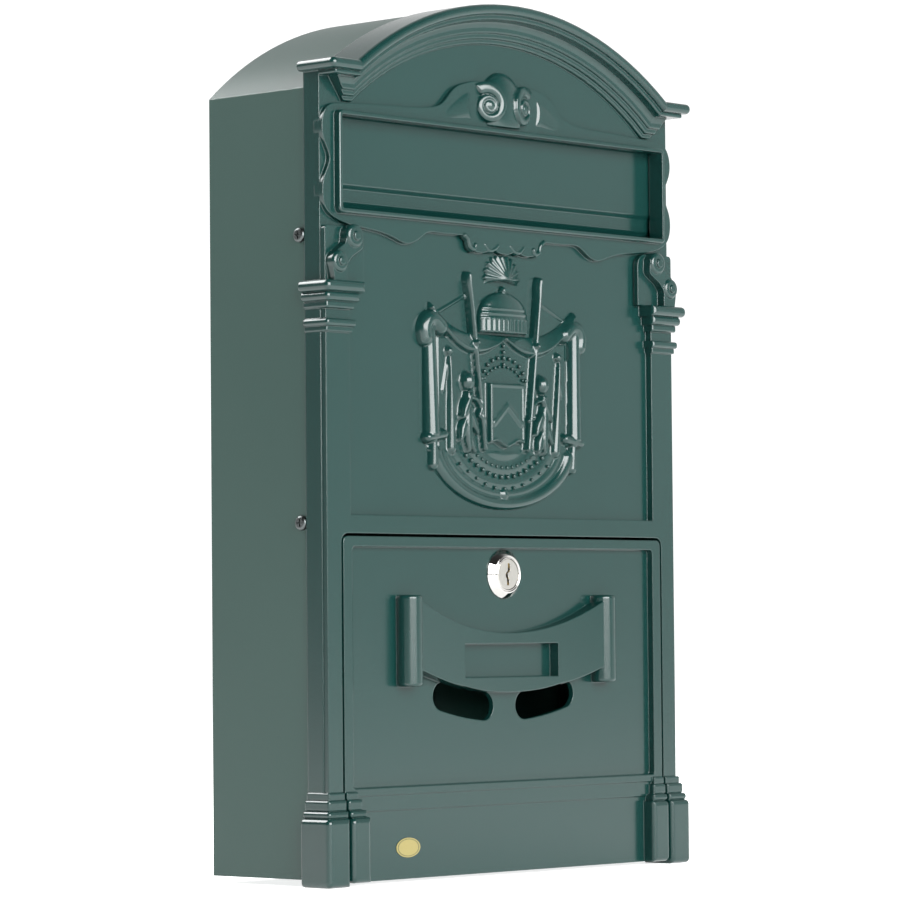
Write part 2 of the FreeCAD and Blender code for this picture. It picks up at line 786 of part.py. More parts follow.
def lock_cam():
    """The cam, at rest to the side, so that the door is free."""
    half = cam_width / 2
    arm = front_prism([(0, lock_z - half, 0), (cam_reach, lock_z - half + 1, 3.5),
                       (cam_reach, lock_z + half - 1, 3.5), (0, lock_z + half, 0)],
                      plug_end, plug_end + cam_thickness)
    hub = rod_along(Y_AXIS, Vector(0, plug_end, lock_z), cam_hub, cam_thickness)
    side = tail_side / 2
    eye = box(-side, side, plug_end - 1, plug_end + cam_thickness + 1, lock_z - side, lock_z + side)
    return without(joined([hub, arm]), [eye])


def ring(inner, outer, y0, thickness):
    """A flat washer on the lock's axis."""
    disc = rod_along(Y_AXIS, Vector(0, y0, lock_z), outer, thickness)
    return disc.cut(rod_along(Y_AXIS, Vector(0, y0 - 1, lock_z), inner, thickness + 2))


def lock_nut():
    """The hexagon nut that clamps the barrel to the door."""
    y0 = door_back + lock_washer_thickness
    radius = nut_across / math.sqrt(3)
    points = []
    for index in range(6):
        angle = math.radians(60 * index)
        points.append((radius * math.cos(angle), lock_z + radius * math.sin(angle), 0))
    nut = front_prism(points, y0, y0 + nut_thickness)
    return nut.cut(rod_along(Y_AXIS, Vector(0, y0 - 1, lock_z), barrel_radius, nut_thickness + 2))


def cross_recess(radius, depth):
    """Two crossed slots, as a cutter for a screw head on the Z axis, opening upwards."""
    half = recess_width / 2
    slot = box(-radius * 0.55, radius * 0.55, -half, half, -depth, 5)
    other = box(-half, half, -radius * 0.55, radius * 0.55, -depth, 5)
    return slot.fuse(other)


def pan_screw(radius, length, head, height):
    """A pan head screw on the Z axis, its head's underside at zero."""
    top = rod_along(Z_AXIS, Vector(0, 0, 0), head, height)
    top = top.makeFillet(height * 0.6, [e for e in top.Edges if e.BoundBox.ZMin > height / 2])
    shank = rod_along(Z_AXIS, Vector(0, 0, -length), radius, length)
    recess = cross_recess(head, recess_depth)
    recess.translate(Vector(0, 0, height))
    return without(top.fuse(shank), [recess])


def cam_screw():
    """The screw that holds the cam on the plug's tail."""
    screw = pan_screw(cam_screw_radius, cam_screw_length - 0.6, cam_screw_head,
                      cam_screw_head_height)
    screw.rotate(Vector(0, 0, 0), X_AXIS, -90)
    screw.translate(Vector(0, plug_end + cam_thickness + cam_washer_thickness, lock_z))
    return screw


# ---- case ------------------------------------------------------------------------------

def case_wrap():
    """Left side, back and right side, folded from one sheet."""
    outer = case_block(0, seat_face, case_depth, sheet_foot)
    inner = case_block(-sheet, seat_face - 1, case_depth - sheet, sheet_foot - 1)
    above = front_prism([(-FAR, fold_z, 0), (FAR, fold_z, 0), (FAR, FAR, 0), (-FAR, FAR, 0)],
                        0, case_depth - sheet)
    holes = []
    for z in screw_heights:
        hole = rod_along(X_AXIS, Vector(case_half - 5, screw_setback, z), screw_hole, 10)
        holes.extend(both(hole))
    for x in (-fixing_across / 2, fixing_across / 2):
        for z in (fixing_low, fixing_low + fixing_up):
            holes.append(rod_along(Y_AXIS, Vector(x, case_depth - 5, z), fixing_hole, 10))
    trim = case_block(5, case_depth - sheet, case_depth + 1, 0).cut(
        case_block(-sheet, case_depth - sheet - 1, case_depth + 2, 0))
    trim = trim.common(box(-FAR, FAR, 0, FAR, fold_z, FAR))
    return without(outer, [inner, above, trim] + holes)


def roof_sheet():
    """The arched roof, with flanges inside the sides."""
    arch = case_block(0, seat_face, case_depth, sheet_foot)
    arch = arch.cut(case_block(-sheet, seat_face - 1, case_depth + 1, 0))
    arch = arch.common(box(-FAR, FAR, 0, FAR, fold_z, FAR))
    skirt = case_block(-sheet, seat_face + 15, case_depth - sheet, sheet_foot)
    skirt = skirt.cut(case_block(-2 * sheet, seat_face, case_depth, 0))
    flange = box(-FAR, FAR, 0, FAR, fold_z - roof_flange, fold_z + roof_flange / 2)
    return joined([arch, skirt.common(flange)])


def floor_panel():
    """The floor, with a flange up each side and up the back."""
    half = case_half - sheet
    back = case_depth - sheet
    low = sheet_foot + sheet
    tray = box(-half, half, floor_front, back, low, low + floor_flange)
    room = box(-half + sheet, half - sheet, floor_front - 1, back - sheet, low + sheet, FAR)
    return without(tray, [room])


def case_screws():
    """Four pan head screws through the sides into the frame's lugs."""
    screws = []
    for z in screw_heights:
        screw = pan_screw(screw_radius, screw_length, screw_head, screw_head_height)
        screw.rotate(Vector(0, 0, 0), Y_AXIS, 90)
        screw.translate(Vector(case_half, screw_setback, z))
        screws.extend(both(screw))
    return Part.makeCompound(screws)


# ---- write -----------------------------------------------------------------------------

pieces = {
    "front_casting": front_casting(),
    "case_wrap": case_wrap(),
    "roof_sheet": roof_sheet(),
    "floor_panel": floor_panel(),
    "case_screws": case_screws(),
    "flap_plate": flap_plate(),
    "flap_rod": flap_rod(),
    "flap_rod_clips": flap_rod_clips(),
    "door_casting": door_casting(),
    "door_hinge_pin_left": mirrored(hinge_pin()),
    "door_hinge_pin_right": hinge_pin(),
    "maker_label": maker_label(),
    "lock_body": lock_body(),
    "lock_washer": ring(barrel_radius, lock_washer_radius, door_back, lock_washer_thickness),
    "lock_nut": lock_nut(),
    "lock_plug": lock_plug(),
    "lock_wafers": lock_wafers(),
    "lock_cam": lock_cam(),
    "cam_washer": ring(cam_screw_radius, cam_washer_radius, plug_end + cam_thickness,
                       cam_washer_thickness),
    "cam_screw": cam_screw(),
}

os.makedirs("parts", exist_ok=True)
for name, shape in pieces.items():
    placed = shape.copy()
    placed.translate(PLACE)
    placed.exportStep(f"parts/{name}.step")
    size = placed.BoundBox
    print(f"{name:22s} solids {len(placed.Solids)} valid {placed.isValid()} volume {placed.Volume:10.1f}"
          f"  {size.XLength:7.2f} x {size.YLength:6.2f} x {size.ZLength:7.2f}")
print(f"arch radius {arch_radius:.2f}, fold at {fold_z:.2f}, origin at y {case_depth}, z {fixing_mid}")
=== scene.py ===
# %% [markdown]
# # A cast-front post box, dressed in Blender
#
# The post box hangs on a wall: a die-cast front frame with an arched cornice, a letter
# flap, a drop-down door with a lock, and a case folded from thin sheet. What is left for
# Blender is what a foundry and a paint shop add: the relief ornament that the mould
# leaves on the casting, the powder coat, the metal of the lock, and a plain studio to
# look at them in.

# %% Load the frame
import json
import math

import bmesh
import bpy
import numpy as np
from mathutils import Matrix, Vector


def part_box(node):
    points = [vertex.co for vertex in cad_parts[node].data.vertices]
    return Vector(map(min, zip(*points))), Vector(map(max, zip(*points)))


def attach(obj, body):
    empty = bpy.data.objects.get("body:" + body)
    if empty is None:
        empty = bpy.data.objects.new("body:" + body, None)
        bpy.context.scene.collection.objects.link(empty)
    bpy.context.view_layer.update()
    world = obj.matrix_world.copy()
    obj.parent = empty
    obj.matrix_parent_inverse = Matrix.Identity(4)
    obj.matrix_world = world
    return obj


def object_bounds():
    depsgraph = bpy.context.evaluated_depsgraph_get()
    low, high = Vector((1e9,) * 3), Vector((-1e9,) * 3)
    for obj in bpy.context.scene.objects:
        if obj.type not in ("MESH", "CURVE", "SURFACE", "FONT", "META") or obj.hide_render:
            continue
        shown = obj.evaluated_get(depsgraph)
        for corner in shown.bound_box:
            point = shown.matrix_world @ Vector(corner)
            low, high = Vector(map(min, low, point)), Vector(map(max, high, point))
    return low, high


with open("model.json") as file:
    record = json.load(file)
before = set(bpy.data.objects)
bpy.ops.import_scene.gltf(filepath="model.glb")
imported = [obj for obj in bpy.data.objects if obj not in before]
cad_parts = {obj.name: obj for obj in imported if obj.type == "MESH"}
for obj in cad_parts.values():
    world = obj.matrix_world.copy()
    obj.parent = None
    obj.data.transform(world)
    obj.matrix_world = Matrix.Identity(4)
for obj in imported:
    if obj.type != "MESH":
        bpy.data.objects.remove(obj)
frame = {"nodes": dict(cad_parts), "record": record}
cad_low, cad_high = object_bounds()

print("CAD box", [round(v, 4) for v in cad_low], [round(v, 4) for v in cad_high])

# %% [markdown]
# ## Where things are
#
# The drawing measures heights from the frame's foot and depths from the face of its
# plate, in millimetres.  Two corners of the front casting give both, because its foot is
# its lowest point and its cornice stands a known distance in front of the plate.  Every
# ornament below is laid out in those drawing millimetres and turned to metres once.

# %% Drawing coordinates
MM = 0.001
CORNICE_FRONT = 13.7         # cornice in front of the plate
FIELD_DEPTH = 0.6            # field behind the plate
SURROUND_FRONT = 2.3         # slot surround in front of the plate

casting_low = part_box("front_casting")[0]
foot_z = casting_low.z
plate_y = casting_low.y + CORNICE_FRONT * MM


def place(x, depth, z):
    """Metres from drawing millimetres: across, in front (-) or behind (+) the plate, up."""
    return Vector((x * MM, plate_y + depth * MM, foot_z + z * MM))


lock_low, lock_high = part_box("lock_body")
lock_centre = (lock_low + lock_high) / 2
print("plate face at y", round(plate_y, 4), "foot at z", round(foot_z, 4))

# %% [markdown]
# ## Writing materials as sums
#
# A Blender material is a graph of nodes, and the arithmetic in it is tedious to wire by
# hand.  The class below wraps one output socket, so that `grain * 0.3 + spots` adds the
# Math nodes by itself.  Every other kind of node comes from one method, `node`, which
# sets the node's own options first and then its inputs.

# %% A socket that can be added and multiplied
class Signal:
    """A value in a graph of nodes, with Python's arithmetic."""

    def __init__(self, graph, socket):
        self.graph = graph
        self.socket = socket

    def maths(self, operation, left, right):
        return self.graph.node("ShaderNodeMath", {"operation": operation}, {0: left, 1: right})

    def __add__(self, other):
        return self.maths("ADD", self, other)

    def __radd__(self, other):
        return self.maths("ADD", other, self)

    def __sub__(self, other):
        return self.maths("SUBTRACT", self, other)

    def __rsub__(self, other):
        return self.maths("SUBTRACT", other, self)

    def __mul__(self, other):
        return self.maths("MULTIPLY", self, other)

    def __rmul__(self, other):
        return self.maths("MULTIPLY", other, self)

    def __pow__(self, other):
        return self.maths("POWER", self, other)


class Graph:
    """A tree of nodes while it is being written."""

    def __init__(self, tree):
        self.tree = tree

    def node(self, kind, settings, inputs, output=0):
        """Adds a node, sets its options, fills its inputs and returns one output."""
        made = self.tree.nodes.new(kind)
        for option, value in settings.items():
            if option == "stops":
                self.set_stops(made.color_ramp, value)
            else:
                setattr(made, option, value)
        for name, value in inputs.items():
            self.fill(made.inputs[name], value)
        return Signal(self, made.outputs[output])

    def set_stops(self, ramp, stops):
        """Puts (position, colour) stops on a colour ramp."""
        while len(ramp.elements) < len(stops):
            ramp.elements.new(0.5)
        for element, (position, colour) in zip(ramp.elements, stops):
            element.position = position
            element.color = colour

    def fill(self, socket, value):
        """Links a signal to a socket, or sets a plain value on it."""
        if isinstance(value, Signal):
            self.tree.links.new(value.socket, socket)
        else:
            socket.default_value = value


class Finish(Graph):
    """One material while it is being written."""

    def __init__(self, name, roughness, metallic=0.0):
        self.material = bpy.data.materials.new(name)
        self.material.use_nodes = True
        super().__init__(self.material.node_tree)
        self.shader = self.tree.nodes["Principled BSDF"]
        self.shader.inputs["Roughness"].default_value = roughness
        self.shader.inputs["Metallic"].default_value = metallic

    def feed(self, **sockets):
        """Fills the shader's own sockets; underscores stand for spaces."""
        for name, value in sockets.items():
            self.fill(self.shader.inputs[name.replace("_", " ")], value)

    def place(self):
        """The surface point in the object's own metres."""
        return self.node("ShaderNodeTexCoord", {}, {}, "Object")

    def noise(self, size, detail=2.0, roughness=0.5):
        """Soft random grain with spots about this size, in metres."""
        inputs = {"Vector": self.place(), "Scale": 1.0 / size, "Detail": detail,
                  "Roughness": roughness}
        return self.node("ShaderNodeTexNoise", {}, inputs, "Fac")

    def blend(self, amount, first, second):
        """A mix of two colours."""
        return self.node("ShaderNodeMix", {"data_type": "RGBA"},
                         {0: amount, 6: first, 7: second}, 2)

    def rounded_bump(self, height, depth, edge):
        """A normal with this height pattern, whose sharp edges look rounded by `edge`."""
        soft = self.node("ShaderNodeBevel", {"samples": 8}, {"Radius": edge})
        return self.node("ShaderNodeBump", {},
                         {"Height": height, "Distance": depth, "Strength": 1.0, "Normal": soft})


# %% [markdown]
# ## Powder coat
#
# The casting and the case are dipped in the same dark green powder and baked.  Melted
# powder never lies quite flat: it keeps a skin of low waves about a millimetre long,
# known as orange peel, which spreads each reflection a little.  The die-cast front came
# out of a polished mould, so its skin is smooth.  The sheet was only degreased, and a
# textured powder hides its scratches, so its grain is finer, deeper and duller.
#
# Paint also rounds every sharp edge.  A Bevel node bends the normal near an edge by the
# radius of that rounding, and a Bump node lays the orange peel on top of it.

# %% The two powder coats
def powder_coat(name, dark, light, roughness, wave, depth, edge):
    """Semi-gloss baked powder with orange peel and a slow drift of tone."""
    coat = Finish(name, roughness)
    drift = coat.noise(0.09, 3.0, 0.6)
    coat.feed(Base_Color=coat.blend(drift, (*dark, 1), (*light, 1)))
    peel = coat.noise(wave, 2.0, 0.55)
    pits = coat.noise(wave * 0.35, 1.0, 0.5)
    coat.feed(Roughness=roughness + (drift - 0.5) * 0.06 + (pits - 0.5) * 0.05)
    coat.feed(Normal=coat.rounded_bump(peel + pits * 0.35, depth, edge))
    coat.shader.inputs["Specular IOR Level"].default_value = 0.5
    return coat.material


CAST_DARK = (0.0022, 0.0190, 0.0165)
CAST_LIGHT = (0.0030, 0.0220, 0.0195)
SHEET_DARK = (0.0060, 0.0290, 0.0230)
SHEET_LIGHT = (0.0080, 0.0330, 0.0260)

cast_green = powder_coat("cast_powder_coat", CAST_DARK, CAST_LIGHT, roughness=0.20,
                         wave=1.6 * MM, depth=0.010 * MM, edge=0.75 * MM)
sheet_green = powder_coat("sheet_powder_coat", SHEET_DARK, SHEET_LIGHT, roughness=0.42,
                          wave=0.9 * MM, depth=0.030 * MM, edge=0.5 * MM)
print("powder coats ready")

# %% [markdown]
# ## Bare metal
#
# The lock's bezel is polished nickel chrome, its core is satin nickel with faint turning
# rings, and the fasteners are zinc plated.  Rings are distance from the lock's axis sent
# through a sine, so the pattern needs a Vector Math node that moves the lock's centre to
# the origin of the texture.

# %% Metals
def plated(name, colour, roughness, spots, depth):
    """Plated metal with a cloudy finish."""
    metal = Finish(name, roughness, 1.0)
    cloud = metal.noise(spots, 4.0, 0.6)
    shade = [c * 0.82 for c in colour]
    metal.feed(Base_Color=metal.blend(cloud, (*shade, 1), (*colour, 1)))
    metal.feed(Roughness=roughness + (cloud - 0.5) * 0.16)
    metal.feed(Normal=metal.rounded_bump(cloud, depth, 0.15 * MM))
    return metal.material


def turned_metal(name, colour, roughness, pitch, depth, edge):
    """Metal with fine lathe rings round the lock's axis."""
    metal = Finish(name, roughness, 1.0)
    centred = metal.node("ShaderNodeVectorMath", {"operation": "SUBTRACT"},
                         {0: metal.place(), 1: lock_centre})
    flat = metal.node("ShaderNodeVectorMath", {"operation": "MULTIPLY"},
                      {0: centred, 1: (1.0, 0.0, 1.0)})
    away = metal.node("ShaderNodeVectorMath", {"operation": "LENGTH"}, {0: flat}, "Value")
    rings = metal.node("ShaderNodeMath", {"operation": "SINE"}, {0: away * (2 * math.pi / pitch)})
    haze = metal.noise(2.5 * MM, 3.0, 0.6)
    shade = [c * 0.9 for c in colour]
    metal.feed(Base_Color=metal.blend(haze, (*shade, 1), (*colour, 1)))
    metal.feed(Roughness=roughness + (haze - 0.5) * 0.12)
    metal.feed(Normal=metal.rounded_bump(rings * 0.5 + haze * 0.4, depth, edge))
    return metal.material


lock_chrome = turned_metal("lock_chrome", (0.56, 0.55, 0.53), roughness=0.05,
                           pitch=0.9 * MM, depth=0.0006 * MM, edge=0.2 * MM)
plug_nickel = turned_metal("plug_nickel", (0.58, 0.57, 0.53), roughness=0.16,
                           pitch=0.45 * MM, depth=0.001 * MM, edge=0.2 * MM)
zinc_steel = plated("zinc_steel", (0.62, 0.62, 0.60), 0.34, 1.5 * MM, 0.004 * MM)
black_zinc = plated("black_zinc", (0.09, 0.10, 0.10), 0.32, 1.0 * MM, 0.004 * MM)
wafer_brass = plated("wafer_brass", (0.72, 0.55, 0.27), 0.35, 1.0 * MM, 0.004 * MM)
print("metals ready")

# %% [markdown]
# ## The gold label
#
# A small oval of gold foil sits on the plinth.  It carries no mark here, only the thin
# printed line that such labels have inside their edge.  The line is drawn where the
# distance from the oval's centre, measured in half-widths and half-heights, is just
# under one.

# %% Gold foil with a printed line
FOIL_DARK = (0.20, 0.17, 0.055, 1)
FOIL_LIGHT = (0.26, 0.22, 0.085, 1)
FOIL_INK = (0.03, 0.04, 0.02, 1)
LINE_AT = 0.86               # share of the way out to the oval's edge
LINE_HALF = 0.035


def gold_foil():
    """Foil with a dark line just inside the oval's edge."""
    low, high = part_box("maker_label")
    centre = (low + high) / 2
    half = (high - low) / 2
    foil = Finish("gold_foil", 0.32, 0.3)
    centred = foil.node("ShaderNodeVectorMath", {"operation": "SUBTRACT"},
                        {0: foil.place(), 1: centre})
    scaled = foil.node("ShaderNodeVectorMath", {"operation": "MULTIPLY"},
                       {0: centred, 1: (1 / half.x, 0.0, 1 / half.z)})
    away = foil.node("ShaderNodeVectorMath", {"operation": "LENGTH"}, {0: scaled}, "Value")
    line = foil.node("ShaderNodeMath", {"operation": "COMPARE"},
                     {0: away, 1: LINE_AT, 2: LINE_HALF})
    grain = foil.noise(0.8 * MM, 3.0, 0.6)
    gold = foil.blend(grain, FOIL_DARK, FOIL_LIGHT)
    foil.feed(Base_Color=foil.blend(line * 0.8, gold, FOIL_INK))
    foil.feed(Roughness=0.30 + line * 0.2)
    foil.feed(Normal=foil.rounded_bump(grain, 0.003 * MM, 0.1 * MM))
    return foil.material


FINISHES = {
    "cast_green": cast_green,
    "sheet_green": sheet_green,
    "screw_dark": black_zinc,
    "zinc_steel": zinc_steel,
    "lock_chrome": lock_chrome,
    "plug_nickel": plug_nickel,
    "wafer_brass": wafer_brass,
    "label_gold": gold_foil(),
}

# %% [markdown]
# ## Dressing the CAD pieces
#
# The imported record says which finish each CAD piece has.  A CAD mesh is never touched:
# its material slots are emptied and given one of the materials above.

# %% Give every CAD piece its finish
for row in frame["record"]["subparts"]:
    piece = frame["nodes"][row["node"]]
    piece.data.materials.clear()
    piece.data.materials.append(FINISHES[row["material_slot"]])

# %% [markdown]
# ## Relief as a height map
#
# Ornament on a casting is a landscape: it only ever rises out of the plate and never
# hangs over itself, because the mould has to come off.  So each ornament is written as a
# height for every point of the plate, in millimetres, and a fine grid of points is
# raised by it.  Ridges, rolls and domes are distances to lines and circles bent into a
# round profile, and `np.maximum` lets one stand in front of another as real folds do.

# %% Round profiles from distances
def round_ridge(distance, half_width, height):
    """A half-round ridge over a distance field."""
    inside = np.clip(1 - (distance / half_width) ** 2, 0, None)
    return height * np.sqrt(inside)


def soft_ridge(distance, half_width, height):
    """A ridge with soft feet, for shallow drapery."""
    t = np.clip(np.abs(distance) / half_width, 0, 1)
    return height * (0.5 + 0.5 * np.cos(math.pi * t))


def to_segment(x, z, start, end):
    """Distance to a straight line between two points, and how far along it (0 to 1)."""
    dx = end[0] - start[0]
    dz = end[1] - start[1]
    along = np.clip(((x - start[0]) * dx + (z - start[1]) * dz) / (dx * dx + dz * dz), 0, 1)
    return np.hypot(x - start[0] - along * dx, z - start[1] - along * dz), along


def smooth_path(points, count):
    """Points along a Catmull-Rom curve through a few given ones."""
    padded = [points[0]] + list(points) + [points[-1]]
    path = []
    for i in range(1, len(padded) - 2):
        p0, p1, p2, p3 = (np.array(p, float) for p in padded[i - 1:i + 3])
        for t in np.linspace(0, 1, count, endpoint=False):
            path.append(0.5 * (2 * p1 + (p2 - p0) * t + (2 * p0 - 5 * p1 + 4 * p2 - p3) * t * t
                               + (3 * p1 - p0 - 3 * p2 + p3) * t ** 3))
    path.append(np.array(points[-1], float))
    return path


def to_path(x, z, points, count=8):
    """Distance to a smooth curve through points, and how far along it (0 to 1)."""
    path = smooth_path(points, count)
    best = np.full(x.shape, 1e9)
    where = np.zeros(x.shape)
    for i in range(len(path) - 1):
        away, along = to_segment(x, z, path[i], path[i + 1])
        nearer = away < best
        best = np.where(nearer, away, best)
        where = np.where(nearer, (i + along) / (len(path) - 1), where)
    return best, where


# %% [markdown]
# The grid becomes a closed mesh: the raised points in front, a rim that dives under the
# plate's surface, and one flat face behind.  Points where nothing rises are dropped, so
# the plate shows between the ornaments.

# %% A closed mesh from a height map
FLAT = 0.04                  # what rises less than this is left out
RIM_SINK = 0.12              # the rim's dip under the plate's surface
BACK_SINK = 0.8              # the piece's back inside the plate


def relief(name, span, step, height, face_depth):
    """Raises the plate by height(x, z) over a span (x0, x1, z0, z1), all in drawing mm."""
    xs = np.arange(span[0], span[1] + step / 2, step)
    zs = np.arange(span[2], span[3] + step / 2, step)
    x, z = np.meshgrid(xs, zs)
    rise = height(x, z)
    low = rise < FLAT
    depth = np.where(low, face_depth + RIM_SINK, face_depth - rise)
    keep = ~(low[:-1, :-1] & low[1:, :-1] & low[:-1, 1:] & low[1:, 1:])
    columns = len(xs)
    rows, cols = np.nonzero(keep)
    first = rows * columns + cols
    quads = np.stack([first, first + 1, first + columns + 1, first + columns], axis=1)
    used = np.unique(quads)
    renumber = np.zeros(x.size, int)
    renumber[used] = np.arange(len(used))
    points = np.stack([x.ravel()[used] * MM, plate_y + depth.ravel()[used] * MM,
                       foot_z + z.ravel()[used] * MM], axis=1)
    mesh = bpy.data.meshes.new(name)
    mesh.from_pydata(points.tolist(), [], renumber[quads].tolist())
    close_behind(mesh, plate_y + (face_depth + BACK_SINK) * MM)
    piece = bpy.data.objects.new(name, mesh)
    bpy.context.scene.collection.objects.link(piece)
    for polygon in mesh.polygons:
        polygon.use_smooth = True
    print(name, len(mesh.polygons), "faces, rises to", round(float(rise.max()), 2), "mm")
    return piece


def close_behind(mesh, back_y):
    """Extrudes a sheet's open rim back to a plane and fills it there."""
    work = bmesh.new()
    work.from_mesh(mesh)
    rim = [edge for edge in work.edges if edge.is_boundary]
    made = bmesh.ops.extrude_edge_only(work, edges=rim)["geom"]
    for item in made:
        if isinstance(item, bmesh.types.BMVert):
            item.co.y = back_y
    outer = [edge for edge in work.edges if edge.is_boundary]
    bmesh.ops.holes_fill(work, edges=outer, sides=0)
    bmesh.ops.recalc_face_normals(work, faces=work.faces)
    work.to_mesh(mesh)
    work.free()


def finish_piece(piece, material, body):
    """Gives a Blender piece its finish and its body."""
    piece.data.materials.clear()
    piece.data.materials.append(material)
    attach(piece, body)


# %% [markdown]
# ## The draped arms
#
# The middle of the front carries a mantle: a canopy with a dome and a fluted fan, two
# swags of cloth, side curtains gathered under knobs, two poles, and a plain shield with a
# chevron between buds on leafy stems.  It is an ornament of a general heraldic kind and
# stands for nobody.  Both halves are the same, so the height is worked out from the
# distance to the middle line.

# %% Folds, poles and dome
CURTAIN_FOOT, CURTAIN_TOP = 206, 257
SWAG_LOW_X = 20              # where each swag hangs lowest
DOME_FOOT = 262.0
DOME_HALF = 17.0
DOME_RISE = 12.8
DRUM_FOOT = 255.4
FAN_Z = 280.5
FAN_REACH = 12.4
FAN_SPREAD = 1.75            # radians to each side of upright


def curtain(x, z):
    """One side curtain with its cuff and tail, its knob and the inner folds."""
    away, along = to_segment(x, z, (51.4, CURTAIN_TOP), (50.4, CURTAIN_FOOT))
    column = round_ridge(away, 3.7 + 1.0 * along, 3.8 + 1.2 * along)
    fold = np.where((z < CURTAIN_FOOT) | (z > CURTAIN_TOP), 0, column)
    cuff, _ = to_segment(x, z, (54.0, 204.6), (43.0, 206.4))
    fold = np.maximum(fold, round_ridge(cuff, 2.7, 4.6))
    tail, along = to_segment(x, z, (49.4, 203), (49.0, 192))
    fold = np.maximum(fold, round_ridge(tail, 2.2 + 0.6 * along, 3.4))
    knob = np.hypot(x - 38.6, z - 245.4)
    fold = np.maximum(fold, round_ridge(knob, 2.4, 4.0))
    for foot, width, height in (((42.0, 227), 0.9, 1.8), ((36.8, 200), 2.6, 3.6)):
        away, along = to_segment(x, z, (38.8, 243), foot)
        fold = np.maximum(fold, round_ridge(away, 0.6 + width * along, height))
    return fold


def swag(x, z):
    """The canopy's cloth: a sagging band, crisp below and soft above, with its corner roll."""
    aside = x - SWAG_LOW_X
    lower = 244.5 + np.where(aside > 0, 0.021, 0.020) * aside ** 2
    upper = 254.2 + np.clip(aside, 0, None) ** 2 * 0.0145
    share = np.clip((z - lower) / np.clip(upper - lower, 0.5, None), 0, 1)
    band = 4.4 * np.sqrt(np.clip(share / 0.24, 0, 1)) * np.clip(1.12 - share, 0, 1) ** 0.7
    cloth = np.where((z > lower) & (x < 51) & (share < 1), band, 0)
    roll, _ = to_path(x, z, [(54.6, 251), (55.2, 255.6), (52.6, 259.4), (48.2, 259.6),
                             (44, 256.4)])
    cloth = np.maximum(cloth, round_ridge(roll, 4.2, 5.0))
    shoulder, _ = to_segment(x, z, (26.5, 271.5), (46.5, 262.5))
    return np.maximum(cloth, soft_ridge(shoulder, 1.3, 0.8))


def pole(x, z):
    """One leaning pole with a rounded head, and the knob where it meets the swag."""
    away, along = to_segment(x, z, (25.3, 281.5), (15.2, 200.5))
    swell = 1.7 + 0.6 * np.exp(-((along - 0.04) / 0.05) ** 2)
    shaft = round_ridge(away, swell, 4.6)
    knob = np.hypot(x - 21.4, z - 250.0)
    return np.maximum(shaft, round_ridge(knob, 1.9, 6.2))


def dome(x, z):
    """The canopy's dome over its fluted band."""
    reach = np.hypot(x / DOME_HALF, (z - DOME_FOOT) / DOME_RISE)
    shell = 1.2 + 4.0 * np.sqrt(np.clip(1 - reach ** 2, 0, None))
    shell = np.where((z > DOME_FOOT) & (reach < 1), shell, 0)
    hoops = 0.3 * np.cos((z - DOME_FOOT) * 2 * math.pi / 2.4) * ((z < 267.5) & (shell > 0.6))
    drum = 1.2 + 4.2 * np.sqrt(1 - np.clip(x / DOME_HALF, 0, 1) ** 2)
    drum = np.where((z > DRUM_FOOT) & (z <= DOME_FOOT) & (x < DOME_HALF), drum, 0)
    drum = drum + np.where(drum > 0, 0.18 * np.cos(x * 2 * math.pi / 3.0), 0)
    neck = round_ridge(np.hypot(x, (z - 275.6) / 1.3), 1.7, 3.2)
    return np.maximum.reduce([shell + hoops, drum, neck])


def fan(x, z):
    """A fluted fan on the dome, a low cone whose rim is thin."""
    angle = np.arctan2(x, z - FAN_Z)
    reach = np.hypot(x, z - FAN_Z)
    spread = np.clip((FAN_SPREAD - angle) / 0.10, 0, 1)
    flutes = np.cos(angle * 2 * math.pi / 0.30)
    edge = np.clip((FAN_REACH + 0.8 * flutes - reach) / 0.7, 0, 1)
    cone = 5.6 - 4.4 * reach / FAN_REACH
    return (cone + flutes * 0.09 * reach ** 0.7) * spread * edge


# %% [markdown]
# The lower half of the ornament is the shield between its leaves, and the hem of the
# mantle below it, which is two rolls round one centre.

# %% Shield, leaves and hem
SHIELD_HALF = 12.3
SHIELD_TOP = 231.6
SHIELD_THICK = 3.9
BUD_X, BUD_Z = 26.4, 231.6
LEAVES = [
    # (root, tip, half width, height)
    ((27.4, 226), (26.8, 198), 3.4, 5.0),
    ((25.4, 226), (31.6, 214), 2.8, 5.4),
    ((25.6, 218), (20.4, 207), 2.6, 4.8),
    ((28.4, 215), (32.6, 203), 2.6, 4.6),
    ((25.6, 209), (22.4, 198), 2.6, 4.4),
]
HEM_Z = 205.0                # centre of the hem's rolls
HEM_HALF, HEM_DROP = 53.0, 33.3


def shield(x, z):
    """A plain shield with a thin raised rim and a chevron."""
    foot = 203.0 - 2.2 * np.clip(1 - x / 6.0, 0, 1) + 0.8 * np.exp(-((x - 8) / 2.5) ** 2)
    inside = np.minimum.reduce([SHIELD_HALF - x, SHIELD_TOP - z, z - foot])
    body = np.clip(inside / 0.45, 0, 1) * SHIELD_THICK
    rim = round_ridge(np.abs(inside - 0.9), 0.9, 0.45) * (inside > 0)
    chevron, _ = to_segment(x, z, (0, 221.0), (9.4, 212.6))
    return body + rim + np.where(inside > 1.6, round_ridge(chevron, 1.5, 0.8), 0)


def leaf(x, z, root, tip, width, height):
    """One pointed leaf with a groove down its middle."""
    away, along = to_segment(x, z, root, tip)
    half = width * np.sin(math.pi * np.clip(along * 0.9 + 0.08, 0, 1)) ** 0.8 + 0.02
    blade = round_ridge(away, half, height)
    return blade - np.where(blade > 0.5, 0.5 * np.clip(1 - away / 0.45, 0, 1), 0)


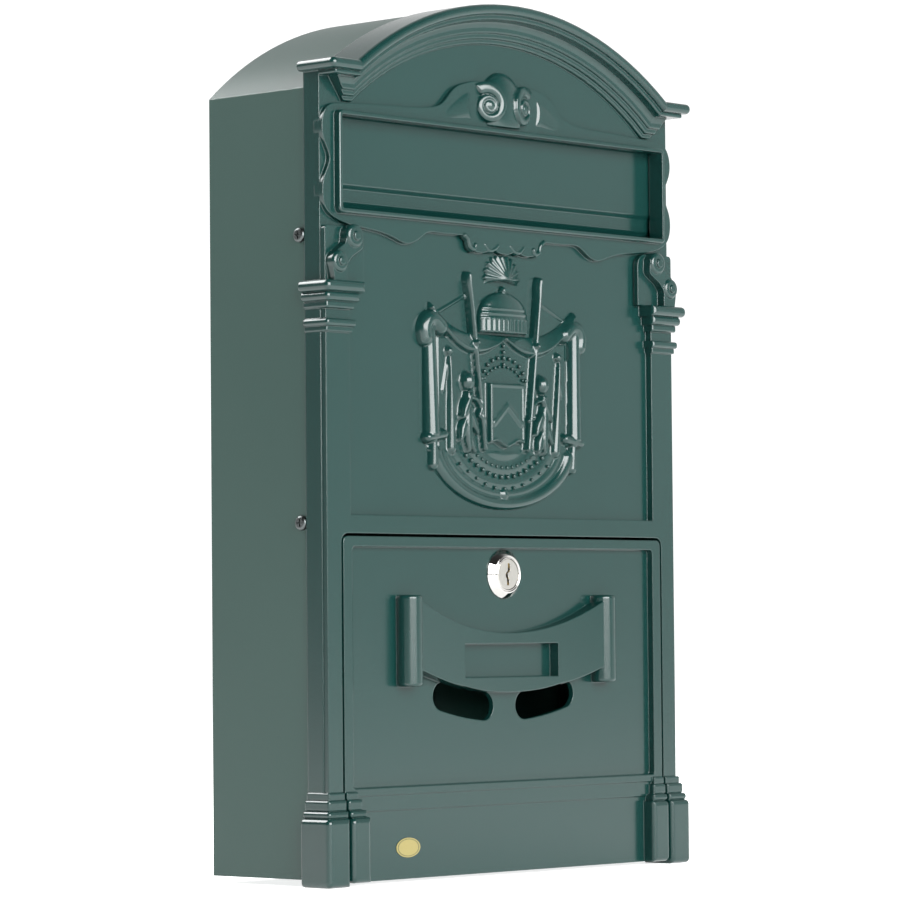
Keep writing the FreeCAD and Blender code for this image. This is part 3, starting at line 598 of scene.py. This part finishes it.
def spray(x, z):
    """A big bud over broad overlapping leaves, with a curled tendril to the shield."""
    bud = np.hypot((x - BUD_X) / 0.92, (z - BUD_Z) / 1.12)
    branch = round_ridge(bud, 4.5, 6.0)
    branch = branch - 0.35 * np.clip(np.cos((x - BUD_X) * 2 * math.pi / 1.9), 0, 1) * (bud < 4.2)
    for root, tip, width, height in LEAVES:
        branch = np.maximum(branch, leaf(x, z, root, tip, width, height))
    tendril, along = to_path(x, z, [(27, 224), (21.4, 223.4), (18.2, 219.6), (19.4, 215.6),
                                    (15.4, 214.4)])
    return np.maximum(branch, round_ridge(tendril, 1.5 - 0.4 * along, 4.4))


def mantle_hem(x, z):
    """The mantle's lower edge: a broad roll, a softer fold inside it and a small boss."""
    reach = np.hypot(x / HEM_HALF, (z - HEM_Z) / HEM_DROP)
    below = np.clip((201.5 - z) / 3.0, 0, 1)
    outer = round_ridge(np.abs(reach - 0.915), 0.085, 2.9)
    inner = round_ridge(np.abs(reach - 0.77), 0.062, 1.5)
    cloth = np.where(reach < 0.93, 1.15 + 0.25 * np.cos(reach * 2 * math.pi / 0.21), 0)
    boss = round_ridge(np.hypot(x, z - 179.0), 3.4, 3.0)
    return np.maximum(np.maximum.reduce([outer, inner, cloth]) * below, boss)


def arms(x, z):
    """The whole ornament; both halves alike."""
    side = np.abs(x)
    ground = 0.9 * np.clip((46.5 - side) / 2, 0, 1) * ((z < 252) & (z > 199))
    parts = [ground, mantle_hem(side, z), spray(side, z), curtain(side, z), dome(side, z),
             fan(side, z), swag(side, z), shield(side, z), pole(side, z)]
    return np.maximum.reduce(parts)


draped_arms = relief("draped_arms", (-60, 60, 168, 292), step=0.4, height=arms,
                     face_depth=FIELD_DEPTH)
finish_piece(draped_arms, cast_green, "case")

# %% [markdown]
# ## Volutes over the letter slot
#
# Two spiral scrolls face each other over the slot, in front of a smooth hood, with a leaf
# running out from each.  A spiral's radius shrinks by the same share each turn, so the
# logarithm of the rim's radius over a point's own says how many turns in the point lies.
# Each face leans outwards, which turns one scroll to the light and one away from it.

# %% Spirals, hood and wings
VOLUTE_X = 12.6
VOLUTE_Z = 362.4
VOLUTE_GROWTH = 2.1          # how much wider a turn is than the next one in
VOLUTE_LEAN = 0.30           # height lost for each mm outwards
VOLUTE_RIM = 12.0            # radius where the roll starts
VOLUTE_START = 0.9           # its angle there, in radians
VOLUTE_FACE = 5.4
ROLL_HEIGHT = 1.9
HOOD_HALF, HOOD_RISE = 14.5, 17.2
HOOD_Z = 362.0
HOOD_HEIGHT = 6.0
CROWN_SEAT = 2.0             # how far behind the surround's front the crown starts


def spiral(x, z):
    """One volute: a leaning face on which one broad roll winds in to its eye."""
    reach = np.hypot(x - VOLUTE_X, z - VOLUTE_Z)
    angle = np.arctan2(z - VOLUTE_Z, x - VOLUTE_X) % (2 * math.pi)
    rim = VOLUTE_RIM * VOLUTE_GROWTH ** (-(angle - VOLUTE_START) / (2 * math.pi))
    rim = np.where(angle < VOLUTE_START, rim / VOLUTE_GROWTH, rim)
    turn = np.log(np.clip(rim / np.clip(reach, 0.05, None), 1, None)) / math.log(VOLUTE_GROWTH)
    share = turn % 1.0
    roll = ROLL_HEIGHT * np.sqrt(np.clip(1 - (2 * share - 0.85) ** 2, 0, 1))
    eye = round_ridge(reach, 3.0, 2.4)
    face = VOLUTE_FACE - VOLUTE_LEAN * (x - VOLUTE_X)
    return np.where(reach < rim, face - ROLL_HEIGHT + np.maximum(roll, eye), 0)


def hood(x, z):
    """The smooth hood that rises behind the volutes."""
    reach = np.hypot(x / HOOD_HALF, (z - HOOD_Z) / HOOD_RISE)
    rise = HOOD_HEIGHT * np.sqrt(np.clip(1 - reach ** 2, 0, None)) ** 0.9
    return np.where(z > 353, rise, 0)


def wing(x, z):
    """The broad leaf that runs out from a volute along the surround."""
    away, along = to_path(x, z, [(14, 361.5), (24, 361.5), (32, 359.0), (40, 356.0), (46, 354.4)])
    half = 9.6 - 7.0 * along
    blade = (3.2 - 1.6 * along) * np.clip(1 - (away / half) ** 3, 0, 1) ** 0.5
    blade = blade * np.clip((np.hypot(x - VOLUTE_X, z - VOLUTE_Z) - 8) / 5, 0, 1)
    return np.where(z > 353.6, blade, 0)


def crown(x, z):
    """Volutes, hood and wings; both halves alike."""
    side = np.abs(x)
    return np.maximum.reduce([hood(side, z), wing(side, z), spiral(side, z)])


crown_volutes = relief("crown_volutes", (-48, 48, 351, 382), step=0.3, height=crown,
                       face_depth=-SURROUND_FRONT + CROWN_SEAT)
finish_piece(crown_volutes, cast_green, "case")

# %% [markdown]
# ## Strings of pearls
#
# The shield is crowned by two arches of pearls with a short upright string on them, and
# three more strings hang under it.  The same small ball is repeated along a path, which is
# work for Geometry Nodes: resample a curve to evenly spaced points, put a ball on each, and
# realise the copies as a mesh.
# The tree has named inputs for the spacing and the ball's radius, and ends by giving the
# balls their material.

# %% A Geometry Nodes tree for pearls on a curve
def pearl_tree(material):
    """Balls at even steps along a curve."""
    tree = bpy.data.node_groups.new("pearls_on_curve", "GeometryNodeTree")
    tree.interface.new_socket("Curve", in_out="INPUT", socket_type="NodeSocketGeometry")
    for name, value in (("Spacing", 2.6 * MM), ("Radius", 0.9 * MM)):
        socket = tree.interface.new_socket(name, in_out="INPUT", socket_type="NodeSocketFloat")
        socket.default_value = value
    tree.interface.new_socket("Pearls", in_out="OUTPUT", socket_type="NodeSocketGeometry")
    start = tree.nodes.new("NodeGroupInput")
    end = tree.nodes.new("NodeGroupOutput")
    even = tree.nodes.new("GeometryNodeCurveToPoints")
    even.mode = "LENGTH"
    ball = tree.nodes.new("GeometryNodeMeshUVSphere")
    ball.inputs["Segments"].default_value = 12
    ball.inputs["Rings"].default_value = 8
    copies = tree.nodes.new("GeometryNodeInstanceOnPoints")
    real = tree.nodes.new("GeometryNodeRealizeInstances")
    smooth = tree.nodes.new("GeometryNodeSetShadeSmooth")
    finish = tree.nodes.new("GeometryNodeSetMaterial")
    finish.inputs["Material"].default_value = material
    link = tree.links.new
    link(start.outputs["Curve"], even.inputs["Curve"])
    link(start.outputs["Spacing"], even.inputs["Length"])
    link(start.outputs["Radius"], ball.inputs["Radius"])
    link(even.outputs["Points"], copies.inputs["Points"])
    link(ball.outputs["Mesh"], copies.inputs["Instance"])
    link(copies.outputs["Instances"], real.inputs["Geometry"])
    link(real.outputs["Geometry"], smooth.inputs["Geometry"])
    link(smooth.outputs["Geometry"], finish.inputs["Geometry"])
    link(finish.outputs["Geometry"], end.inputs["Pearls"])
    return tree


def socket_id(tree, name):
    """The identifier behind a tree input's name."""
    for item in tree.interface.items_tree:
        if item.name == name and item.in_out == "INPUT":
            return item.identifier
    raise KeyError(name)


# %% Hang the strings
PEARL_STRINGS = [
    # (points in drawing mm, height over the field, spacing, radius)
    ([(-15.5, 233.4), (-13.0, 240.5), (0, 245.0), (13.0, 240.5), (15.5, 233.4)], 1.6, 3.9, 1.0),
    ([(-13.5, 233.6), (-9.0, 238.2), (0, 240.0), (9.0, 238.2), (13.5, 233.6)], 1.5, 2.9, 0.75),
    ([(0, 240.6), (0, 249.4)], 1.7, 2.9, 1.0),
    ([(-27, 197.0), (-15, 189.5), (0, 186.6), (15, 189.5), (27, 197.0)], 1.6, 4.3, 1.05),
    ([(-19, 197.0), (-11, 193.0), (0, 191.4), (11, 193.0), (19, 197.0)], 1.5, 3.4, 0.8),
    ([(-31, 193.0), (-17, 184.0), (0, 181.0), (17, 184.0), (31, 193.0)], 1.7, 6.1, 0.8),
]


def pearls(tree, index, points, rise, spacing, radius):
    """One string: a curve on which the tree sets its pearls."""
    curve = bpy.data.curves.new(f"pearl_path_{index}", "CURVE")
    curve.dimensions = "3D"
    spline = curve.splines.new("NURBS")
    spline.points.add(len(points) - 1)
    for control, (x, z) in zip(spline.points, points):
        control.co = (*place(x, FIELD_DEPTH - rise, z), 1)
    spline.order_u = 3
    spline.use_endpoint_u = True
    path = bpy.data.objects.new(f"pearl_path_{index}", curve)
    bpy.context.scene.collection.objects.link(path)
    modifier = path.modifiers.new("pearls", "NODES")
    modifier.node_group = tree
    modifier[socket_id(tree, "Spacing")] = spacing * MM
    modifier[socket_id(tree, "Radius")] = radius * MM
    return path


def plain_mesh(objects, name):
    """Joins what several modified objects show into one plain mesh object."""
    graph = bpy.context.evaluated_depsgraph_get()
    whole = bmesh.new()
    for item in objects:
        mesh = bpy.data.meshes.new_from_object(item.evaluated_get(graph))
        whole.from_mesh(mesh)
        bpy.data.meshes.remove(mesh)
        bpy.data.objects.remove(item)
    result = bpy.data.meshes.new(name)
    whole.to_mesh(result)
    whole.free()
    for polygon in result.polygons:
        polygon.use_smooth = True
    made = bpy.data.objects.new(name, result)
    bpy.context.scene.collection.objects.link(made)
    print(name, len(result.polygons), "faces")
    return made


pearls_tree = pearl_tree(cast_green)
strings = [pearls(pearls_tree, index, *string) for index, string in enumerate(PEARL_STRINGS)]
pearl_strings = plain_mesh(strings, "pearl_strings")
finish_piece(pearl_strings, cast_green, "case")

# %% [markdown]
# ## Scallops under the slot
#
# A little curl at each side, and two short scallops between them, hang from the middle of
# the surround.

# %% Curls and scallops
SCALLOPS_SEAT = 1.0          # how far in front of the plate they start


def scallops(x, z):
    """A small curl at each side and two short scallops between them."""
    side = np.abs(x)
    curl, _ = to_path(side, z, [(28, 300.2), (25.6, 298.4), (24.4, 295.2), (21.8, 294.0),
                                (20.6, 296.0)])
    rise = round_ridge(curl, 1.4, 2.4)
    scallop, _ = to_path(side, z, [(13.6, 296.6), (10.4, 294.2), (6.8, 295.0), (4.4, 296.8)])
    return np.maximum(rise, round_ridge(scallop, 1.3, 1.7))


slot_scallops = relief("slot_scallops", (-33, 33, 290, 303), step=0.3, height=scallops,
                       face_depth=-SCALLOPS_SEAT)
finish_piece(slot_scallops, cast_green, "case")

# %% [markdown]
# ## The studio
#
# A pale floor, a sky that is white to the right and behind, and two softboxes.  Seen from
# the left, the flat front mirrors the sky on the right, which gives the paint its milky
# sheen, while the side mirrors a greyer part and keeps the deeper green.  The front
# softbox is what the rounded folds mirror as white streaks, and the back one does the same
# for edges that face up and to the left.  The floor glows a little, so that it stays white.

# %% Floor
FLOOR_HALF = 6.0
FLOOR_GLOW = 0.8


def pale_floor():
    """A wide plain floor just under the foot."""
    mesh = bpy.data.meshes.new("studio_floor")
    z = foot_z - 0.2 * MM
    corners = [(x * FLOOR_HALF, y * FLOOR_HALF, z)
               for x, y in ((-1, -1), (1, -1), (1, 1), (-1, 1))]
    mesh.from_pydata(corners, [], [(0, 1, 2, 3)])
    floor = bpy.data.objects.new("studio_floor", mesh)
    bpy.context.scene.collection.objects.link(floor)
    paper = Finish("studio_paper", 0.9)
    paper.shader.inputs["Base Color"].default_value = (0.86, 0.86, 0.86, 1)
    paper.shader.inputs["Specular IOR Level"].default_value = 0.1
    paper.shader.inputs["Emission Color"].default_value = (1, 1, 1, 1)
    paper.shader.inputs["Emission Strength"].default_value = FLOOR_GLOW
    mesh.materials.append(paper.material)
    return floor


pale_floor()

# %% Sky
SKY_STRENGTH = 1.15
SKY_STOPS = [(0.03, 0.04), (0.35, 0.13), (0.462, 0.33), (0.61, 1.0)]
DIM_ABOVE = 0.15             # the sky dims upwards from this height on its unit sphere
DIM_RATE = 0.9


def studio_sky():
    """White to the right and behind, dark to the front and left, and dimmer overhead."""
    world = bpy.data.worlds.new("studio_sky")
    bpy.context.scene.world = world
    world.use_nodes = True
    graph = Graph(world.node_tree)
    way = graph.node("ShaderNodeTexCoord", {}, {}, "Generated")
    parts = graph.node("ShaderNodeSeparateXYZ", {}, {0: way})
    across, inwards, upwards = (Signal(graph, parts.socket.node.outputs[axis])
                                for axis in range(3))
    stops = [(position, (grey, grey, grey, 1)) for position, grey in SKY_STOPS]
    side = across + inwards * 0.8 - upwards * 0.5
    level = graph.node("ShaderNodeValToRGB", {"stops": stops}, {0: side * 0.4 + 0.55})
    background = world.node_tree.nodes["Background"]
    graph.fill(background.inputs["Color"], level)
    dimming = graph.node("ShaderNodeMath", {"operation": "MAXIMUM"}, {0: upwards, 1: DIM_ABOVE})
    graph.fill(background.inputs["Strength"], SKY_STRENGTH - (dimming - DIM_ABOVE) * DIM_RATE)


studio_sky()
bpy.context.scene.view_settings.view_transform = "Standard"

# %% Lamps
middle = (Vector(cad_low) + Vector(cad_high)) / 2


def softbox(name, turn, rise, distance, size, radiance):
    """A flat soft light that faces the box from an angle left (-) or right (+) of its front."""
    turn, rise = math.radians(turn), math.radians(rise)
    away = Vector((math.sin(turn) * math.cos(rise), -math.cos(turn) * math.cos(rise),
                   math.sin(rise)))
    lamp = bpy.data.lights.new(name, "AREA")
    lamp.shape = "RECTANGLE"
    lamp.size, lamp.size_y = size
    lamp.energy = radiance * math.pi * size[0] * size[1]
    holder = bpy.data.objects.new(name, lamp)
    bpy.context.scene.collection.objects.link(holder)
    holder.location = middle + away * distance
    holder.rotation_euler = (-away).to_track_quat("-Z", "Y").to_euler()
    return holder


softbox("front_softbox", turn=-12, rise=18, distance=2.6, size=(2.8, 1.6), radiance=15)
softbox("back_softbox", turn=-158, rise=42, distance=2.2, size=(1.5, 1.2), radiance=13)

# %% [markdown]
# ## Camera
#
# The box is seen from the front and well to the left, a little below the middle and
# looking slightly up, from about two metres with a long lens.  A rotation matrix built
# from the viewing direction is easier to trust here than three angles.

# %% Camera
EYE = Vector((-1.4681, -1.3823, -0.0887))
VIEW_ROUND = math.radians(47.52)
VIEW_UP = math.radians(2.453)
VIEW_ROLL = math.radians(-0.483)
LENS_LENGTH = 166.7
FILM_WIDTH = 36.0


def studio_camera():
    """A long lens that looks along a direction turned round, tipped up and rolled."""
    ahead = Vector((math.sin(VIEW_ROUND), math.cos(VIEW_ROUND), 0)) * math.cos(VIEW_UP)
    ahead.z = math.sin(VIEW_UP)
    level_right = ahead.cross(Vector((0, 0, 1))).normalized()
    level_up = level_right.cross(ahead)
    right = level_right * math.cos(VIEW_ROLL) + level_up * math.sin(VIEW_ROLL)
    up = level_up * math.cos(VIEW_ROLL) - level_right * math.sin(VIEW_ROLL)
    lens = bpy.data.cameras.new("studio_camera")
    lens.lens = LENS_LENGTH
    lens.sensor_width = FILM_WIDTH
    camera = bpy.data.objects.new("studio_camera", lens)
    bpy.context.scene.collection.objects.link(camera)
    turn = Matrix((right, up, -ahead)).transposed()
    camera.matrix_world = Matrix.Translation(EYE) @ turn.to_4x4()
    bpy.context.scene.camera = camera


studio_camera()
